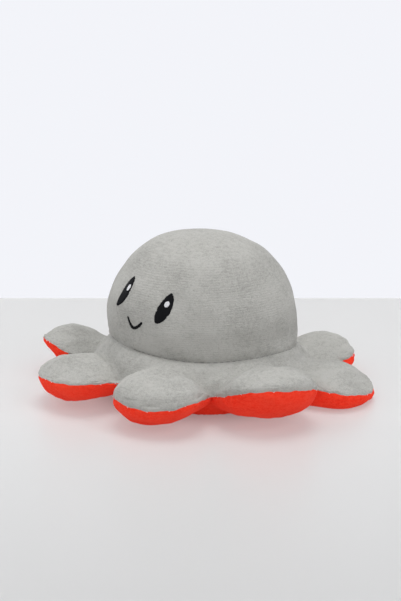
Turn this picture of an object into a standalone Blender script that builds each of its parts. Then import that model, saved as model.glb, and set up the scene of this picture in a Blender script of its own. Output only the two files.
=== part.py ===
"""A plush octopus that turns inside out: a padded dome round a pocket, a skirt, and eight stuffed legs.

Metres, +Z up. The origin is on the table under the middle of the toy, and the grey face looks along -Y.
"""
import math

import bmesh
import bpy
from mathutils import Vector

# Cloth and sewing
FABRIC = 0.0012
GAP = 0.0003
THREAD_RADIUS = 0.0005

# Head
HEAD_RADIUS = 0.0542
HEAD_RISE = 0.0490
HEAD_MIDDLE = 0.0400
HEAD_POWER = 2.15
NECK_HEIGHT = 0.0300
HEAD_SIDES = 36
HEAD_RINGS = 8

# Pocket that the toy turns through
POCKET_RADIUS = 0.0300
POCKET_RISE = 0.0530
POCKET_POWER = 3.0
MOUTH_HEIGHT = 0.0090
POCKET_RINGS = 7

# Skirt
CROTCH_RADIUS = 0.0680
BASE_INNER_RADIUS = 0.0360
BASE_OUTER_RADIUS = 0.0530
SEAM_HEIGHT = 0.0150
SKIRT_TOP_ANGLE = math.radians(115)
SKIRT_BOTTOM_ANGLE = math.radians(245)
LIP_HALVINGS = 30
SKIRT_COLUMNS = 6
SOCKET_STEPS = 3

# Legs
LEG_COUNT = 8
LEG_REACH = 0.1027
LEG_REACH_SHARES = (0.940, 0.965, 0.980, 0.910, 0.950, 0.950, 0.985, 0.975)
LEG_RISE_SHARES = (1.0, 1.07, 0.56, 0.52, 0.70, 0.76, 0.86, 0.98)
LEG_DROOP_SHARES = (-0.08, -0.65, 0.37, 0.42, 0.20, 0.13, -0.43, -0.10)
LEG_HALF_WIDTH = 0.0268
LEG_RISE = 0.0145
LEG_BELLY = 0.0155
LEG_WIDEST_SHARE = 0.40
LEG_STATION_SHARES = (0.10, 0.20, 0.30, 0.40, 0.56, 0.71, 0.84, 0.94, 1.0)
KNUCKLE_RADIUS = 0.0130
KNUCKLE_SHARES = (1.0, 1.0, 0.66, 0.66, 0.77, 0.77, 0.66, 0.88)
KNUCKLE_HALF_WIDTH = 0.0254
KNUCKLE_STEPS = 3
LEG_SECTION_STEPS = 6
HINGE_GAP = 0.0004
SOCKET_END_GAP = 0.0010
LEG_TOP_CLEAR_ANGLE = math.radians(66)
LEG_BELLY_CLEAR_ANGLE = math.radians(80)

# Embroidered faces: heights and half sizes in metres, turns from the middle of the face
EMBROIDERY = 0.0007
EYE_HALF_LENGTH = 0.0092
EYE_HALF_WIDTH = 0.0038
EYE_POINT_SHARE = 0.30
EYE_SIDES = 14
FACE_TURN = math.radians(-2)
EYES = {
    "left": {"turn": math.radians(19.4), "height": 0.0589, "lean": math.radians(18)},
    "right": {"turn": math.radians(-16.3), "height": 0.0621, "lean": math.radians(14)},
}
GLINT_RADIUS = 0.0018
GLINT_ACROSS = 0.0012
GLINT_RISE = 0.0020
GLINT_SIDES = 8
SMILE_HALF_WIDTH = 0.0056
SMILE_DROP = 0.0048
SMILE_HEIGHT = 0.0497
SMILE_LEAN = math.radians(7)
SMILE_STROKE = 0.0012
SMILE_STEPS = 10
INNER_FACE_SCALE = 0.55
INNER_EYE_TURN = math.radians(17)
INNER_EYE_HEIGHT = 0.0330
INNER_SMILE_HEIGHT = 0.0270

# Colours, linear
GREY = (0.43, 0.42, 0.40)
RED = (0.75, 0.030, 0.013)
BLACK = (0.008, 0.008, 0.010)
WHITE = (0.85, 0.85, 0.85)
STUFFING = (0.80, 0.80, 0.78)

WEDGE = 2 * math.pi / LEG_COUNT
HINGE_RADIUS = CROTCH_RADIUS * math.cos(WEDGE / 2)
SOCKET_TURN = (math.pi - SKIRT_TOP_ANGLE) / SOCKET_STEPS
SOCKET_SLACK = math.cos(SOCKET_TURN / 2) * math.cos(math.pi / SKIRT_COLUMNS / 2)
SOCKET_HALF_WIDTH = KNUCKLE_HALF_WIDTH + SOCKET_END_GAP


# Mesh helpers
def clear_scene():
    for item in list(bpy.data.objects):
        bpy.data.objects.remove(item, do_unlink=True)


def fabric_material(name, colour, roughness=0.9):
    material = bpy.data.materials.new(name)
    material.use_nodes = True
    shader = material.node_tree.nodes["Principled BSDF"]
    shader.inputs["Base Color"].default_value = (*colour, 1.0)
    shader.inputs["Roughness"].default_value = roughness
    shader.inputs["Metallic"].default_value = 0.0
    material.diffuse_color = (*colour, 1.0)
    return material


def add_object(name, points, faces, material, parent=None):
    """Makes one closed solid, with its faces pointing out."""
    mesh = bpy.data.meshes.new(name)
    build = bmesh.new()
    vertices = [build.verts.new(point) for point in points]
    for face in faces:
        build.faces.new([vertices[index] for index in face])
    bmesh.ops.recalc_face_normals(build, faces=build.faces)
    build.to_mesh(mesh)
    build.free()
    mesh.shade_smooth()
    mesh.set_sharp_from_angle(angle=math.radians(50))
    mesh.materials.append(material)
    item = bpy.data.objects.new(name, mesh)
    bpy.context.scene.collection.objects.link(item)
    item.parent = parent
    return item


def row_faces(rows, rings, wrap=False):
    """Triangles between rows of points; a row of one point is a pole, and rings are closed rows.

    Like rows give like triangles, so sheets that lie in each other keep their gap.
    """
    starts = [0]
    for row in rows:
        starts.append(starts[-1] + len(row))
    pairs = list(zip(range(len(rows) - 1), range(1, len(rows))))
    if wrap:
        pairs.append((len(rows) - 1, 0))
    faces = []
    for first, second in pairs:
        count = max(len(rows[first]), len(rows[second]))
        for step in range(count if rings else count - 1):
            following = (step + 1) % count
            corners = []
            for row, steps in ((first, (step, following)), (second, (following, step))):
                size = len(rows[row])
                for place in steps if size > 1 else (0,):
                    corners.append(starts[row] + place)
            for last in range(2, len(corners)):
                faces.append([corners[0], corners[last - 1], corners[last]])
    return faces


def add_solid(name, rows, material, parent=None, wrap=False):
    points = [point for row in rows for point in row]
    return add_object(name, points, row_faces(rows, True, wrap), material, parent)


def add_shell(name, outer, inner, rings, material, parent=None):
    """Joins two like sheets of points along their edges into one closed shell."""
    outer_points = [point for row in outer for point in row]
    inner_points = [point for row in inner for point in row]
    faces = row_faces(outer, rings)
    uses = {}
    for face in faces:
        for start, end in zip(face, face[1:] + face[:1]):
            uses.setdefault(frozenset((start, end)), []).append((start, end))
    shift = len(outer_points)
    walls = [
        (edge[0][1], edge[0][0], edge[0][0] + shift, edge[0][1] + shift)
        for edge in uses.values()
        if len(edge) == 1
    ]
    back = [[index + shift for index in reversed(face)] for face in faces]
    return add_object(name, outer_points + inner_points, faces + back + walls, material, parent)


def ring(radius, height, sides):
    turns = [2 * math.pi * side / sides for side in range(sides)]
    return [(radius * math.cos(turn), radius * math.sin(turn), height) for turn in turns]


def ease(share):
    share = min(max(share, 0.0), 1.0)
    return share * share * (3 - 2 * share)


# Domes of the head and the pocket
def dome(radius, rise, middle, power, bottom, rings, sides):
    """Rows of a rounded dome, from its crown down to the ring at height bottom."""
    level = (bottom - middle) / rise
    lowest = math.asin(math.copysign(abs(level) ** (power / 2), level))
    rows = [[(0.0, 0.0, middle + rise)]]
    for step in range(1, rings + 1):
        angle = math.pi / 2 + (lowest - math.pi / 2) * step / rings
        share = math.copysign(abs(math.sin(angle)) ** (2 / power), math.sin(angle))
        rows.append(ring(radius * math.cos(angle) ** (2 / power), middle + rise * share, sides))
    return rows


def head_dome(inset, bottom):
    return dome(
        HEAD_RADIUS - inset, HEAD_RISE - inset, HEAD_MIDDLE, HEAD_POWER, bottom, HEAD_RINGS, HEAD_SIDES
    )


def pocket_dome(outset, bottom):
    return dome(
        POCKET_RADIUS + outset, POCKET_RISE + outset, MOUTH_HEIGHT, POCKET_POWER,
        bottom, POCKET_RINGS, HEAD_SIDES,
    )


def dome_radius(radius, rise, middle, power, height):
    return radius * (1 - abs((height - middle) / rise) ** power) ** (1 / power)


def head_radius_at(height):
    return dome_radius(HEAD_RADIUS, HEAD_RISE, HEAD_MIDDLE, HEAD_POWER, height)


def pocket_radius_at(height, outset=0.0):
    return dome_radius(
        POCKET_RADIUS + outset, POCKET_RISE + outset, MOUTH_HEIGHT, POCKET_POWER, height
    )


def build_head(grey, red, stuffing):
    neck = NECK_HEIGHT + GAP / 2
    mouth = MOUTH_HEIGHT + GAP / 2
    add_shell("head_cover", head_dome(0.0, neck), head_dome(FABRIC, neck), True, grey)
    add_shell("head_lining", pocket_dome(FABRIC, mouth), pocket_dome(0.0, mouth), True, red)
    inner = pocket_dome(FABRIC + GAP, neck)
    add_solid("head_filling", head_dome(FABRIC + GAP, neck) + inner[::-1], stuffing)


# Skirt between the head and the legs
def socket_reach(share, angle, inset, knuckle):
    """Distance from a hinge line, in one upright plane, to the hollow that the knuckle turns in.

    The hollow is an ellipsoid turned about the hinge line, grown all round by inset.
    """
    hollow = (knuckle + HINGE_GAP) / SOCKET_SLACK
    slope = math.tan(WEDGE / 2) * share
    stretch = (slope / (SOCKET_HALF_WIDTH + inset)) ** 2
    square = 1 / (hollow + inset) ** 2 + stretch * math.cos(angle) ** 2
    linear = stretch * HINGE_RADIUS * math.cos(angle)
    constant = stretch * HINGE_RADIUS**2 - 1
    return (-linear + math.sqrt(linear**2 - square * constant)) / square


def socket_point(share, angle, inset, knuckle):
    """Distance from the toy's axis and height of a point of the hollow."""
    reach = socket_reach(share, angle, inset, knuckle)
    spread = math.hypot(1, math.tan(WEDGE / 2) * share)
    return ((HINGE_RADIUS + reach * math.cos(angle)) * spread, SEAM_HEIGHT + reach * math.sin(angle))


def inner_lip(share, inset, knuckle, lip, end):
    """Angle at which the hollow's wall and the cloth from its lip to end meet, both moved in by inset."""
    corner = socket_point(share, lip, 0.0, knuckle)
    run = (end[0] - corner[0], end[1] - corner[1])

    def depth(angle):
        point = socket_point(share, angle, inset, knuckle)
        area = run[0] * (point[1] - corner[1]) - run[1] * (point[0] - corner[0])
        return area / math.hypot(*run)

    inside = math.copysign(1.0, depth(math.pi))
    near, far = lip, math.pi
    for _ in range(LIP_HALVINGS):
        middle = (near + far) / 2
        if inside * depth(middle) < inset:
            near = middle
        else:
            far = middle
    return far


def skirt_profile(share, inset, knuckle):
    """Outline of the skirt in one upright plane, from the neck down to the pocket's mouth."""
    neck = (head_radius_at(NECK_HEIGHT), NECK_HEIGHT - GAP / 2)
    top = inner_lip(share, inset, knuckle, SKIRT_TOP_ANGLE, neck)
    low = inner_lip(share, inset, knuckle, SKIRT_BOTTOM_ANGLE, (BASE_OUTER_RADIUS, 0.0))
    path = [(neck[0] - inset, neck[1])]
    for start, end in ((top, math.pi), (math.pi, low)):
        for step in range(SOCKET_STEPS + (1 if end == low else 0)):
            angle = start + (end - start) * step / SOCKET_STEPS
            path.append(socket_point(share, angle, inset, knuckle))
    path.append((BASE_OUTER_RADIUS - inset / 2, inset))
    path.append((BASE_INNER_RADIUS + inset / 2, inset))
    path.append((POCKET_RADIUS + inset, MOUTH_HEIGHT - GAP / 2))
    return path


def skirt_columns():
    """Turns round the toy's axis, each with its place across its leg, from -1 to 1, and its knuckle.

    A column between two legs has room for the larger of their knuckles.
    """
    columns = []
    for leg in range(LEG_COUNT):
        for column in range(SKIRT_COLUMNS):
            share = math.sin(math.pi * (column / SKIRT_COLUMNS - 1 / 2))
            turn = leg_turn(leg) + math.atan(math.tan(WEDGE / 2) * share)
            knuckle = knuckle_radius(leg)
            if column == 0:
                knuckle = max(knuckle, knuckle_radius(leg - 1))
            columns.append((turn, share, knuckle))
    return columns


def skirt_rows(inset, part):
    """Rows of the skirt's upper or lower sheet, or both, moved in by inset."""
    seam = SOCKET_STEPS + 1
    rows = []
    for turn, share, knuckle in skirt_columns():
        path = skirt_profile(share, inset, knuckle)
        across, height = path[seam]
        if part == "upper":
            path = path[:seam] + [(across, height + GAP / 2)]
        elif part == "lower":
            path = [(across, height - GAP / 2)] + path[seam + 1 :]
        rows.append([(out * math.cos(turn), out * math.sin(turn), level) for out, level in path])
    return [list(row) for row in zip(*rows)]


def build_skirt(grey, red, stuffing):
    add_shell("skirt_upper", skirt_rows(0.0, "upper"), skirt_rows(FABRIC, "upper"), True, grey)
    add_shell("skirt_lower", skirt_rows(0.0, "lower"), skirt_rows(FABRIC, "lower"), True, red)
    rows = skirt_rows(FABRIC + GAP, "all")
    top = NECK_HEIGHT - GAP / 2
    radius = pocket_radius_at(top, FABRIC + GAP)
    wall = [
        (radius * math.cos(turn), radius * math.sin(turn), top)
        for turn, share, knuckle in skirt_columns()
    ]
    add_solid("skirt_filling", rows + [wall], stuffing, wrap=True)


# Legs
def leg_turn(leg):
    return WEDGE * (leg + 1 / 2) - math.pi / 2


def leg_length(leg):
    return LEG_REACH * LEG_REACH_SHARES[leg] - HINGE_RADIUS


def knuckle_radius(leg):
    return KNUCKLE_RADIUS * KNUCKLE_SHARES[leg]


def leg_height(place, length, full, clear_angle, knuckle):
    """Height of a leg over or under its seam: round at the knuckle, then a dip, then the swell."""
    widest = LEG_WIDEST_SHARE * length
    if place >= widest:
        return full * math.sqrt(max(0.0, 1 - ((place - widest) / (length - widest)) ** 2))
    dip = knuckle * math.cos(clear_angle)
    if place <= dip:
        return math.sqrt(knuckle**2 - place**2)
    low = knuckle * math.sin(clear_angle)
    return low + (full - low) * ease((place - dip) / (widest - dip))


def leg_half_width(place, length):
    widest = LEG_WIDEST_SHARE * length
    if place >= widest:
        return LEG_HALF_WIDTH * math.sqrt(max(0.0, 1 - ((place - widest) / (length - widest)) ** 2))
    return KNUCKLE_HALF_WIDTH + (LEG_HALF_WIDTH - KNUCKLE_HALF_WIDTH) * ease(place / widest)


def leg_stations(leg):
    """Place along the leg from its hinge line, half width, height over and depth under the seam."""
    length = leg_length(leg)
    knuckle = knuckle_radius(leg)
    full = LEG_RISE * LEG_RISE_SHARES[leg]
    stations = []
    for step in range(KNUCKLE_STEPS + 1):
        angle = math.pi / 2 * (1 - step / KNUCKLE_STEPS)
        height = knuckle * math.cos(angle)
        width = KNUCKLE_HALF_WIDTH * math.cos(angle)
        stations.append((-knuckle * math.sin(angle), width, height, height))
    for share in LEG_STATION_SHARES:
        place = share * length
        rise = leg_height(place, length, full, LEG_TOP_CLEAR_ANGLE, knuckle)
        belly = leg_height(place, length, LEG_BELLY, LEG_BELLY_CLEAR_ANGLE, knuckle)
        stations.append((place, leg_half_width(place, length), rise, belly))
    return stations


def leg_rows(leg, inset, sides):
    """Rows of points across a leg moved in by inset; sides holds +1 for its top, -1 for its belly."""
    length = leg_length(leg)
    droop = SEAM_HEIGHT * LEG_DROOP_SHARES[leg]
    middle = (length - knuckle_radius(leg)) / 2
    half_length = (length + knuckle_radius(leg)) / 2
    rows = []
    stations = leg_stations(leg)
    for index, (place, width, rise, belly) in enumerate(stations):
        along = middle + (place - middle) * (half_length - inset) / half_length
        wide = width * (LEG_HALF_WIDTH - inset) / LEG_HALF_WIDTH
        high = rise * (LEG_RISE - inset) / LEG_RISE
        deep = belly * (LEG_BELLY - inset) / LEG_BELLY
        fall = droop * (max(along, 0.0) / length) ** 2
        row = []
        for side in sides:
            lift = GAP / 2 if len(sides) == 1 else 0.0
            if index in (0, len(stations) - 1):
                row = [(along, 0.0, side * lift - fall)]
                continue
            steps = range(LEG_SECTION_STEPS + (1 if len(sides) == 1 else 0))
            for step in steps:
                angle = math.pi * step / LEG_SECTION_STEPS
                size = high if side > 0 else deep
                height = side * max(size * math.sin(angle), lift) - fall
                height = max(height, inset - SEAM_HEIGHT)
                row.append((along, side * wide * math.cos(angle), height))
        rows.append(row)
    return rows


def build_leg(leg, grey, red, stuffing):
    name = f"leg_{leg + 1}"
    hinge = bpy.data.objects.new(f"{name}_hinge", None)
    bpy.context.scene.collection.objects.link(hinge)
    turn = leg_turn(leg)
    hinge.location = (HINGE_RADIUS * math.cos(turn), HINGE_RADIUS * math.sin(turn), SEAM_HEIGHT)
    hinge.rotation_euler = (0.0, 0.0, turn)
    for side, part, material in ((1, "upper", grey), (-1, "lower", red)):
        outer = leg_rows(leg, 0.0, (side,))
        inner = leg_rows(leg, FABRIC, (side,))
        add_shell(f"{name}_{part}", outer, inner, False, material, hinge)
    add_solid(f"{name}_filling", leg_rows(leg, FABRIC + GAP, (1, -1)), stuffing, hinge)


# Seam threads
def build_seam(name, radius, height, material):
    rows = []
    for side in range(HEAD_SIDES):
        turn = 2 * math.pi * side / HEAD_SIDES
        row = []
        for step in range(6):
            angle = math.pi / 3 * step
            across = radius + THREAD_RADIUS * math.cos(angle)
            place = (across * math.cos(turn), across * math.sin(turn))
            row.append((*place, height + THREAD_RADIUS * math.sin(angle)))
        rows.append(row)
    add_solid(name, rows, material, wrap=True)


# Embroidered faces
class FaceGround:
    """The cloth that a face is sewn on: a dome, and the side of it that the thread lies on."""

    def __init__(self, radius, rise, middle, power, outward):
        self.shape = (radius, rise, middle, power)
        self.outward = outward

    def normal(self, turn, height):
        radius, rise, middle, power = self.shape
        across = dome_radius(*self.shape, height)
        flat = (across / radius) ** (power - 1) / radius
        level = (height - middle) / rise
        steep = math.copysign(abs(level) ** (power - 1), level) / rise
        return Vector((flat * math.sin(turn), -flat * math.cos(turn), steep)).normalized()

    def point(self, turn, height, lift):
        across = dome_radius(*self.shape, height)
        place = Vector((across * math.sin(turn), -across * math.cos(turn), height))
        return place + self.normal(turn, height) * lift * self.outward

    def spot(self, middle, across, up, lean, lift):
        """A point across and up on the cloth from a middle given by its turn and height."""
        turn, height = middle
        right = across * math.cos(lean) + up * math.sin(lean)
        rise = up * math.cos(lean) - across * math.sin(lean)
        radius = dome_radius(*self.shape, height)
        normal = self.normal(turn, height)
        level = height + rise * math.hypot(normal.x, normal.y)
        return self.point(turn + right / radius, level, lift)


def build_patch(name, ground, middle, outline, lean, layer, material):
    """A raised pad of satin stitches with the given outline, on the given layer over the cloth."""
    low = GAP + layer * (EMBROIDERY + GAP)
    hub = [sum(values) / len(outline) for values in zip(*outline)]
    sheets = []
    for lift in (low + EMBROIDERY, low):
        centre = ground.spot(middle, *hub, lean, lift)
        edge = [ground.spot(middle, across, up, lean, lift) for across, up in outline]
        sheets.append([[centre], edge])
    add_shell(name, sheets[0], sheets[1], True, material)


def eye_outline(scale):
    """An almond with its point at the top."""
    points = []
    for side in range(EYE_SIDES):
        angle = 2 * math.pi * side / EYE_SIDES
        width = EYE_HALF_WIDTH * (1 - EYE_POINT_SHARE * math.cos(angle))
        points.append((scale * width * math.sin(angle), scale * EYE_HALF_LENGTH * math.cos(angle)))
    return points


def glint_outline(scale):
    points = []
    for side in range(GLINT_SIDES):
        angle = 2 * math.pi * side / GLINT_SIDES
        across = GLINT_ACROSS + GLINT_RADIUS * math.sin(angle)
        points.append((scale * across, scale * (GLINT_RISE + GLINT_RADIUS * math.cos(angle))))
    return points


def build_smile(name, ground, middle, lean, scale, bend, material):
    """A curved band of satin stitches; bend is 1 for a smile and -1 for a frown."""
    sheets = []
    for lift in (GAP + EMBROIDERY, GAP):
        rows = []
        for edge in (-SMILE_STROKE / 2, SMILE_STROKE / 2):
            row = []
            for step in range(SMILE_STEPS + 1):
                angle = math.pi * (step / SMILE_STEPS - 1 / 2)
                across = (SMILE_HALF_WIDTH + edge) * math.sin(angle) * scale
                up = -bend * (SMILE_DROP + edge) * math.cos(angle) * scale
                row.append(ground.spot(middle, across, up, lean, lift))
            rows.append(row)
        sheets.append(rows)
    add_shell(name, sheets[0], sheets[1], False, material)


def build_faces(black, white):
    outside = FaceGround(HEAD_RADIUS, HEAD_RISE, HEAD_MIDDLE, HEAD_POWER, 1)
    for side, eye in EYES.items():
        middle = (FACE_TURN + eye["turn"], eye["height"])
        build_patch(f"eye_{side}", outside, middle, eye_outline(1), eye["lean"], 0, black)
        build_patch(f"glint_{side}", outside, middle, glint_outline(1), eye["lean"], 1, white)
    build_smile("smile", outside, (FACE_TURN, SMILE_HEIGHT), SMILE_LEAN, 1, 1, black)
    pocket = FaceGround(POCKET_RADIUS, POCKET_RISE, MOUTH_HEIGHT, POCKET_POWER, -1)
    scale = INNER_FACE_SCALE
    for side, way in (("left", 1), ("right", -1)):
        middle = (way * INNER_EYE_TURN, INNER_EYE_HEIGHT)
        build_patch(f"inner_eye_{side}", pocket, middle, eye_outline(scale), 0.0, 0, black)
        build_patch(f"inner_glint_{side}", pocket, middle, glint_outline(scale), 0.0, 1, white)
    build_smile("inner_mouth", pocket, (0.0, INNER_SMILE_HEIGHT), 0.0, scale, -1, black)


def main():
    clear_scene()
    grey = fabric_material("grey_velour", GREY)
    red = fabric_material("red_velour", RED)
    stuffing = fabric_material("stuffing", STUFFING)
    black = fabric_material("black_thread", BLACK, 0.6)
    white = fabric_material("white_thread", WHITE, 0.6)
    build_head(grey, red, stuffing)
    build_skirt(grey, red, stuffing)
    for leg in range(LEG_COUNT):
        build_leg(leg, grey, red, stuffing)
    seam_height = NECK_HEIGHT + THREAD_RADIUS
    outside = head_radius_at(seam_height) + GAP + THREAD_RADIUS
    build_seam("neck_seam", outside, seam_height, grey)
    build_seam("mouth_seam", POCKET_RADIUS - GAP - THREAD_RADIUS, MOUTH_HEIGHT, red)
    build_faces(black, white)


main()
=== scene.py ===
import math

import bmesh
import bpy
import numpy as np
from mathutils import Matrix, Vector
from mathutils.bvhtree import BVHTree


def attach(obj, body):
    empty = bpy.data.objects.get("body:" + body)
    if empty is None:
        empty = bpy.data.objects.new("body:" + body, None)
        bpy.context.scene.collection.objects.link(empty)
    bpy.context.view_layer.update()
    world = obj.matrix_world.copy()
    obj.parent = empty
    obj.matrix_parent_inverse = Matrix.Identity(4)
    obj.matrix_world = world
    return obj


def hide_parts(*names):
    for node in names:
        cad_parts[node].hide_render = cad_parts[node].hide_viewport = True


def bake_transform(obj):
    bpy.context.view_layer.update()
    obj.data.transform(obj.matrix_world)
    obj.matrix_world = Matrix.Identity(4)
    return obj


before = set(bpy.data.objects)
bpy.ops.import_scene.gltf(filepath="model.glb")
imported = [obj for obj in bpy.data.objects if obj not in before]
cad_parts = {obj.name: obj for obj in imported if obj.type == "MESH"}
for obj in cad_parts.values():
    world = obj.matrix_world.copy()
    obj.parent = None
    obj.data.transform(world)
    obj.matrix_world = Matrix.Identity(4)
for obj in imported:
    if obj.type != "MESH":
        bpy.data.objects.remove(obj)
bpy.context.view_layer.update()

# Lengths are in millimetres in the frame's axes, until make_piece turns them into metres. The
# studio's lengths are in metres. Azimuths are in degrees from the face, anticlockwise from above.
MM = 0.001
LEGS = 8
WEDGE = 360.0 / LEGS
HALF = math.radians(WEDGE / 2)
SPREAD = math.tan(HALF)

# Cloth
CLOTH = 1.2
THIN_SHARE = 0.15
THIN_REACH = 3.0

# Seams: how deep and how far the cloth turns in, and how far it goes on inside the head. Each
# start is the distance from a crotch over which the curl, the sway or the puckers of a leg set in.
CURL_DEPTH = 0.6
CURL_LENGTH = 1.3
CURL_START = 4
NECK_CURL = 0.4
NECK_TUCK, TUCK_RISE = 2.6, 0.4
# azimuth, half width and share by which the neck's groove fades out
NECK_FADE = (135, 42, 0.85)
# how far a leg's seam sways out and up, and its waves as (length, share)
SEAM_SWAY = (0.08, 0.13)
SWAY_WAVES = ((5.1, 0.7), (8.3, 1.0), (14.0, 1.4))
SWAY_REACH = 2.5
SWAY_START = 6
# puckers beside a leg's seam, and their waves as (length, share)
PUCKER = 0.36
PUCKER_REACH = 3.2
PUCKER_START = 5
PUCKER_WAVES = ((3.1, 0.5), (4.3, 0.9), (6.1, 1.0), (9.5, 0.8))
# how far the puckers shift to and fro, over which length, and how near the seam they are flat
PUCKER_SHIFT = (1.1, 23)
PUCKER_FLAT = 1.2
# wrinkles beside a leg's seam as (distance from it, length), and their sway as (size, length)
WRINKLES = ((2.4, 31.0), (4.3, 23.0))
WRINKLE = 0.34
WRINKLE_WIDTH = 0.55
WRINKLE_SWAY = (0.5, 17)

# Lumps of the filling as (size, length, seed)
HEAD_LUMPS = ((0.42, 34, 3), (0.22, 15, 5))
LEG_LUMPS = ((0.10, 6, 21), (0.30, 11, 17), (0.50, 23, 19))
POCKET_LUMPS = ((0.3, 14, 31),)
# a leg's lumps begin at this distance from its seam, are full after the next, and are full at this
# height over the table
LUMPS_START, LUMPS_REACH, LUMPS_HEIGHT = 0.4, 3, 2.5

# Head
HEAD_RADIUS, HEAD_RISE, HEAD_MIDDLE, HEAD_POWER = 54.1, 49.0, 40.0, 2.15
CROWN_POWER, CROWN_START, CROWN_SPAN = 0.22, 0.64, 0.36
NECK_HEIGHT = 29.3
# azimuth and height of the neck seam round the toy, and the shifts over which they are averaged
NECK_LINE = (
    (0, 31.4), (13, 30.3), (40, 28.8), (60, 29.2), (90, 29.2), (115, 27.0), (142, 24.2), (170, 26.5),
    (200, 29.0), (260, 29.4), (312, 28.8), (328, 32.0), (342, 32.3),
)
NECK_SHIFTS = (-8, -4, 0, 4, 8)
LEAN = 2.2
LEAN_WAY = math.radians(222)
LEAN_TOP = 38.0
HEAD_SIDES = 208
HEAD_ROWS = 84
# a low bump of the crown towards the lean: its place, half lengths, and where it starts and is full
CROWN_BUMP = 0.8
CROWN_BUMP_PLACE = 21
CROWN_BUMP_HALVES = (15, 26)
CROWN_BUMP_START, CROWN_BUMP_FULL = 60, 80
# dents as (azimuth, height, half width, half height, how far out)
HEAD_DENTS = (
    (24.5, 65, 7.0, 15, -3.0),
    (40, 66, 8.0, 15, 1.0),
    (94, 37, 16, 6, -1.3),
    (20, 36, 14, 6, -0.7),
    (312, 36, 25, 6, -1.2),
    (132, 30, 12, 4, -1.2),
    (132, 37.5, 12, 3.5, 0.6),
)
# gathers that rise from the neck seam: folds as in the function folds
GATHER = 0.30
GATHER_REACH = 6.5
GATHERS = ((1.0, 27, 1.3, 3), (0.7, 44, 2.0, 5))
# the head's lumps fade out below its top and just above the neck
LUMPS_TOP, LUMPS_FADE, LUMPS_FOOT = 90, 8, 0.9

# Pocket
POCKET_RADIUS, POCKET_RISE, POCKET_MIDDLE, POCKET_POWER = 30.0, 53.0, 9.0, 3.0
POCKET_SIDES = 144
POCKET_ROWS = 60
POCKET_FOLD = 0.35
POCKET_FOLDS = ((1.0, 9, 1.0, 2), (0.8, 14, 1.5, 3))
POCKET_LIMIT = 0.9
# the folds begin at this height over the mouth, are full after the next, and fade below the crown
POCKET_FADE = (1, 10, 14)
# the cloth leaves the mouth smooth over this height
POCKET_EASE = 4

# Skirt
CROTCH_RADIUS = 68.0
HINGE = CROTCH_RADIUS * math.cos(HALF)
CROTCH_HALF = CROTCH_RADIUS * math.sin(HALF)
BASE_INNER, BASE_OUTER = 36.0, 55.0
BASE_EASE = 3.0
# the red cloth's rows are rings out to this radius
RINGS_END = BASE_OUTER - 4
BEND_LENGTH = 25.0
HINGE_HEIGHT = 15.0
WEDGE_COLUMNS = 129
TOP_ROWS = 52
TOP_DRAW = 0.65
UNDER_ROWS = 60
INNER_ROWS = 20

# Legs: where along its length a leg is widest, and how round its plan is
WIDEST = 0.42
ROUNDNESS = 2.15
# a leg's cross-section is softer near its root
SOFT_POWER = 1.1
SOFT_REACH = 0.36
# the fold across a leg's root
FOLD_INSET, FOLD_WIDTH = 1.0, 2.2
# the cloth leaves the neck level over this distance
NECK_EASE = 4.0
# how far the belly presses into the table, and how wide it blends with the skirt and the table
BELLY_PRESS = 1.5
BELLY_BLEND = 1.5
TABLE_BLEND = 1.4
SKIRT_BOW = 0.9


def dome_radius(height, dome):
    """Radius of a dome at a height. A dome is its radius, rise, middle height, power and crown."""
    radius, rise, middle, power, crown = dome
    level = (np.asarray(height, float) - middle) / rise
    part = np.clip((level - CROWN_START) / CROWN_SPAN, 0, 1)
    power = power + crown * part * part * (3 - 2 * part)
    return radius * np.maximum(1 - np.abs(level) ** power, 0) ** (1 / power)


HEAD = (HEAD_RADIUS, HEAD_RISE, HEAD_MIDDLE, HEAD_POWER, CROWN_POWER)
POCKET = (POCKET_RADIUS, POCKET_RISE, POCKET_MIDDLE, POCKET_POWER, 0.0)


def azimuth_gap(turns, azimuth):
    """Angle in radians past an azimuth."""
    return (turns - math.radians(azimuth - 90) + math.pi) % (2 * math.pi) - math.pi


def neck_height(turns):
    """Height of the neck seam, which dips on the toy's left rear."""
    azimuth = np.degrees(turns) + 90
    knots, heights = zip(*NECK_LINE)
    total = 0
    for shift in NECK_SHIFTS:
        total = total + np.interp(azimuth + shift, knots, heights, period=360)
    return total / len(NECK_SHIFTS)


def neck_radius(turns):
    return dome_radius(neck_height(turns), HEAD)


def neck_curl(turns):
    """How far the cloth turns in at the neck seam; it hardly does where the neck line fades out."""
    azimuth, half_width, share = NECK_FADE
    gap = azimuth_gap(turns, azimuth) / math.radians(half_width)
    return NECK_CURL * (1 - share * np.exp(-(gap**2)))


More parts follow.
